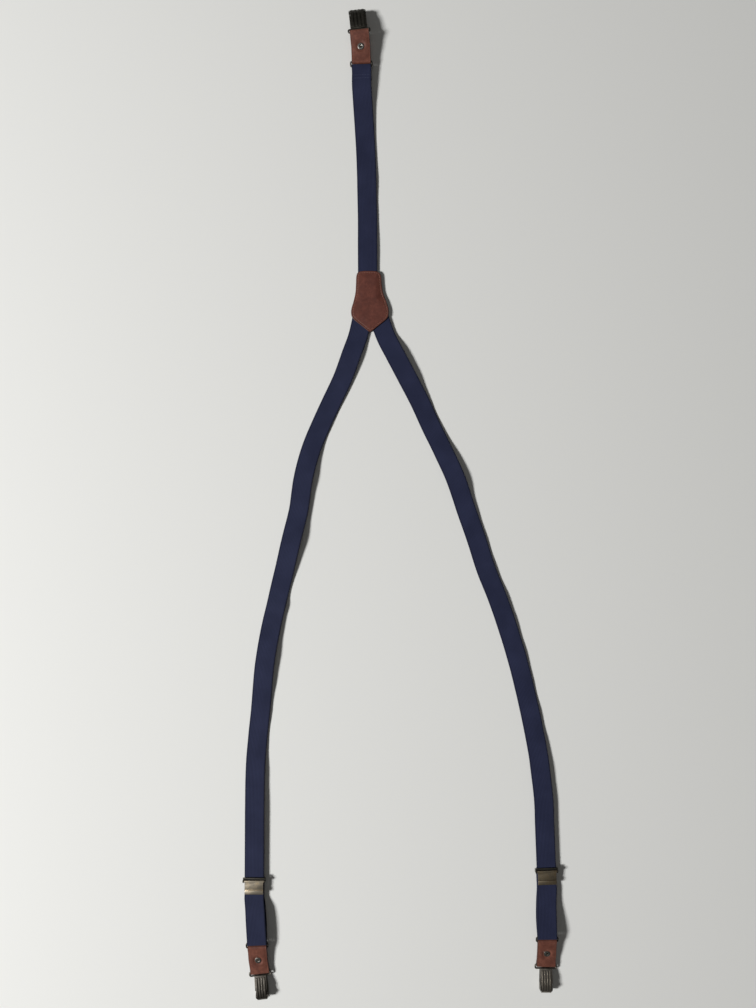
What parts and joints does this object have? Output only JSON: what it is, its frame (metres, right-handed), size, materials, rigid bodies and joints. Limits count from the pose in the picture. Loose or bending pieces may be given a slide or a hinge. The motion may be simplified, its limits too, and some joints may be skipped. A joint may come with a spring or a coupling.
{
  "type": "suspenders",
  "caption": "Slim Y-back dress suspenders laid flat: elastic straps, leather back patch, slide adjusters, and a ring, a riveted leather tab and a metal clip at each end.",
  "frame": {"origin": "middle of the back patch, on its underside", "axes": "+Y along the back strap to the back clip, +X to the right seen from the outer face, +Z out of the outer face"},
  "size_m": [0.324, 1.0177, 0.0145],
  "materials": {
    "navy_elastic": "ribbed woven elastic, matt with a faint sheen",
    "patch_leather": "smooth, softly polished, lighter at the edge",
    "tab_leather": "smooth, softly polished",
    "lining_leather": "matt",
    "antique_brass": "antique brass, satin, dark in its hollows",
    "antique_steel": "dark antique, satin, bright along its edges",
    "aged_nickel": "aged nickel, worn bright at the rim"
  },
  "bodies": {
    "yoke": {"back_patch_front": "patch_leather", "back_patch_lining": "lining_leather", "yoke_strap_ends": "navy_elastic"},
    "back_strap": {"back_strap": "navy_elastic"},
    "left_strap": {"left_front_strap": "navy_elastic"},
    "left_slider": {"left_slider_bracket": "antique_steel", "left_slider_pin": "antique_steel", "left_strap_end": "navy_elastic"},
    "left_flap": {"left_slider_flap": "antique_brass"},
    "left_loop": {"left_strap_loop": "navy_elastic"},
    "right_strap": {"right_front_strap": "navy_elastic"},
    "right_slider": {"right_slider_bracket": "antique_steel", "right_slider_pin": "antique_steel", "right_strap_end": "navy_elastic"},
    "right_flap": {"right_slider_flap": "antique_brass"},
    "right_loop": {"right_strap_loop": "navy_elastic"},
    "back_ring": {"back_ring": "antique_steel"},
    "back_tab": {"back_leather_tab": "tab_leather", "back_rivet": "aged_nickel"},
    "back_clip": {"back_clip_base": "antique_steel", "back_clip_pin": "antique_steel"},
    "back_cover": {"back_clip_cover": "antique_steel"},
    "left_ring": {"left_ring": "antique_steel"},
    "left_tab": {"left_leather_tab": "tab_leather", "left_rivet": "aged_nickel"},
    "left_clip": {"left_clip_base": "antique_steel", "left_clip_pin": "antique_steel"},
    "left_cover": {"left_clip_cover": "antique_steel"},
    "right_ring": {"right_ring": "antique_steel"},
    "right_tab": {"right_leather_tab": "tab_leather", "right_rivet": "aged_nickel"},
    "right_clip": {"right_clip_base": "antique_steel", "right_clip_pin": "antique_steel"},
    "right_cover": {"right_clip_cover": "antique_steel"}
  },
  "joints": [
    {"name": "back_strap_fold", "type": "hinge", "parent": "yoke", "child": "back_strap", "pos_m": [-0.0024, 0.037, 0.0018], "axis": [1, 0, 0], "range_deg": [-90, 90]},
    {"name": "back_ring_pivot", "type": "hinge", "parent": "back_strap", "child": "back_ring", "pos_m": [-0.0087, 0.2408, 0.0055], "axis": [0.9994, 0.0349, 0], "range_deg": [-60, 60]},
    {"name": "back_tab_pivot", "type": "hinge", "parent": "back_ring", "child": "back_tab", "pos_m": [-0.00885, 0.2452, 0.00644], "axis": [0.9994, 0.0349, 0], "range_deg": [-60, 60]},
    {"name": "back_clip_pivot", "type": "hinge", "parent": "back_tab", "child": "back_clip", "pos_m": [-0.01075, 0.27202, 0.01215], "axis": [0.9946, 0.103, 0.0145], "range_deg": [-60, 60]},
    {"name": "back_cover_hinge", "type": "hinge", "parent": "back_clip", "child": "back_cover", "pos_m": [-0.01301, 0.29438, 0.0081], "axis": [-0.9946, -0.103, -0.0145], "range_deg": [0, 105]},
    {"name": "left_strap_fold", "type": "hinge", "parent": "yoke", "child": "left_strap", "pos_m": [-0.0129, -0.037, 0.0018], "axis": [-1, 0, 0], "range_deg": [-90, 90]},
    {"name": "left_slider_slide", "type": "slide", "parent": "left_strap", "child": "left_slider", "axis": [0.0052, 1, 0], "range_m": [0, 0.08]},
    {"name": "left_flap_hinge", "type": "hinge", "parent": "left_slider", "child": "left_flap", "pos_m": [-0.11897, -0.5956, 0.006], "axis": [-1, 0.0052, 0], "range_deg": [0, 105]},
    {"name": "left_loop_slide", "type": "slide", "parent": "left_slider", "child": "left_loop", "axis": [-0.0052, -1, 0], "range_m": [0, 0.04]},
    {"name": "left_ring_pivot", "type": "hinge", "parent": "left_loop", "child": "left_ring", "pos_m": [-0.1157, -0.6586, 0.007], "axis": [-0.999, -0.0436, 0], "range_deg": [-60, 60]},
    {"name": "left_tab_pivot", "type": "hinge", "parent": "left_ring", "child": "left_tab", "pos_m": [-0.11551, -0.66305, 0.00637], "axis": [-0.999, -0.0436, 0], "range_deg": [-60, 60]},
    {"name": "left_clip_pivot", "type": "hinge", "parent": "left_tab", "child": "left_clip", "pos_m": [-0.11324, -0.69017, 0.00255], "axis": [-0.9926, -0.1211, -0.0109], "range_deg": [-60, 60]},
    {"name": "left_cover_hinge", "type": "hinge", "parent": "left_clip", "child": "left_cover", "pos_m": [-0.11056, -0.71251, 0.00646], "axis": [0.9926, 0.1211, 0.0109], "range_deg": [0, 105]},
    {"name": "right_strap_fold", "type": "hinge", "parent": "yoke", "child": "right_strap", "pos_m": [0.017, -0.037, 0.0018], "axis": [-1, 0, 0], "range_deg": [-90, 90]},
    {"name": "right_slider_slide", "type": "slide", "parent": "right_strap", "child": "right_slider", "axis": [-0.0384, 0.9993, 0], "range_m": [0, 0.08]},
    {"name": "right_flap_hinge", "type": "hinge", "parent": "right_slider", "child": "right_flap", "pos_m": [0.18155, -0.58561, 0.006], "axis": [-0.9993, -0.0384, 0], "range_deg": [0, 105]},
    {"name": "right_loop_slide", "type": "slide", "parent": "right_slider", "child": "right_loop", "axis": [0.0384, -0.9993, 0], "range_m": [0, 0.04]},
    {"name": "right_ring_pivot", "type": "hinge", "parent": "right_loop", "child": "right_ring", "pos_m": [0.1813, -0.6516, 0.0086], "axis": [-0.9999, -0.0122, 0], "range_deg": [-60, 60]},
    {"name": "right_tab_pivot", "type": "hinge", "parent": "right_ring", "child": "right_tab", "pos_m": [0.18135, -0.65602, 0.00774], "axis": [-0.9999, -0.0122, 0], "range_deg": [-60, 60]},
    {"name": "right_clip_pivot", "type": "hinge", "parent": "right_tab", "child": "right_clip", "pos_m": [0.18128, -0.68301, 0.00249], "axis": [-0.9998, 0.0169, 0.0057], "range_deg": [-60, 60]},
    {"name": "right_cover_hinge", "type": "hinge", "parent": "right_clip", "child": "right_cover", "pos_m": [0.18092, -0.70551, 0.0064], "axis": [0.9998, -0.0169, -0.0057], "range_deg": [0, 105]}
  ],
  "couplings": [
    {"joint": "left_loop_slide", "follows": "left_slider_slide", "ratio": 0.5},
    {"joint": "right_loop_slide", "follows": "right_slider_slide", "ratio": 0.5}
  ]
}
